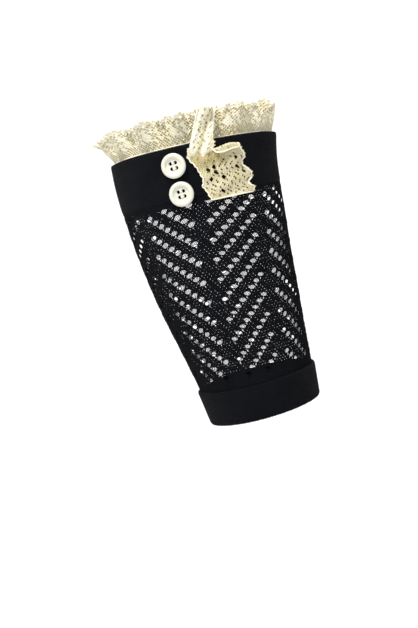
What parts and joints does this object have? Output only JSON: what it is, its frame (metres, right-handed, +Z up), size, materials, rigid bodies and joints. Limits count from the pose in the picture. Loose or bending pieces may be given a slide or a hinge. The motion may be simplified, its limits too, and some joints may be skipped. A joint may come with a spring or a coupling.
{
  "type": "pointelle knit leg warmer with lace frill",
  "caption": "Open-ended knitted tube for the lower leg, in its worn leaning pose, with slanting lines of eyelets, a plain cuff and hem, a gathered lace frill, a folded lace tab and buttons.",
  "frame": {"origin": "centre line of the tube half way down the top cuff, where the leg holds the piece up", "axes": "+Z up, towards the frill; -Y the front with the buttons and the tab; the tube leans so that its hem lies towards +X"},
  "size_m": [0.1474, 0.1198, 0.2092],
  "materials": {
    "knit_black": "matt black knit of fine cotton yarn with elastane",
    "lace_cream": "cream cotton bobbin lace, matt",
    "button_ivory": "polished polyester resin"
  },
  "bodies": {
    "root": {"lace_frill": "lace_cream", "top_cuff": "knit_black", "net_front": "knit_black", "net_back": "knit_black", "bottom_hem": "knit_black", "lace_tab_upper": "lace_cream", "lace_tab_lower": "lace_cream", "button_upper": "button_ivory", "button_lower": "button_ivory"}
  },
  "joints": []
}
